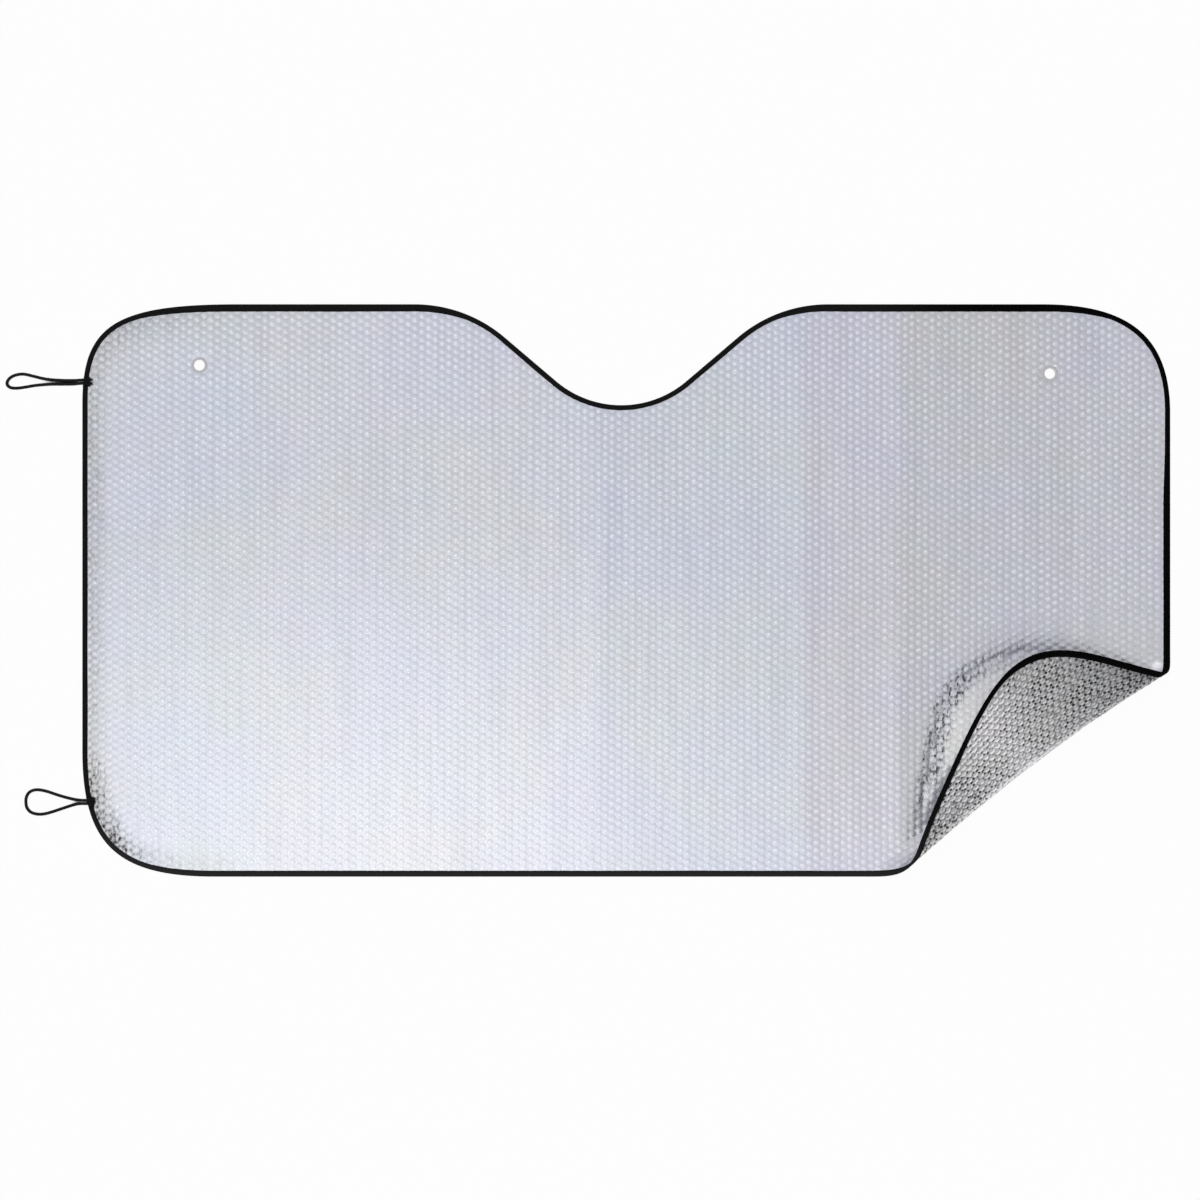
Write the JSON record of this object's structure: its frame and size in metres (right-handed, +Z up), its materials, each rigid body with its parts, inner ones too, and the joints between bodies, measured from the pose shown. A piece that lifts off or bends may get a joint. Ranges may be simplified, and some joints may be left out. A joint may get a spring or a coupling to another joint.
{
  "type": "car sunshade",
  "caption": "Windscreen sunshade: bound sheet of silver foil bubble laminate with a mirror notch, suction cup holes, elastic loops and one corner turned over.",
  "frame": {"origin": "middle of the bound outline's rectangle, on the surface that the shade lies on", "axes": "+X to the right along the shade's width, +Y towards the edge with the mirror notch, +Z up out of the front face"},
  "size_m": [1.3918, 0.684, 0.1185],
  "materials": {
    "bubble_foil": "metallised film over bubbles, satin",
    "binding_tape": "folded nonwoven tape, matt",
    "elastic_cord": "braided round elastic",
    "sewing_thread": "spun polyester thread"
  },
  "bodies": {
    "root": {"laminate_panel": "bubble_foil", "edge_binding": "binding_tape", "upper_elastic_loop": "elastic_cord", "lower_elastic_loop": "elastic_cord", "upper_loop_bartack": "sewing_thread", "lower_loop_bartack": "sewing_thread"}
  },
  "joints": []
}
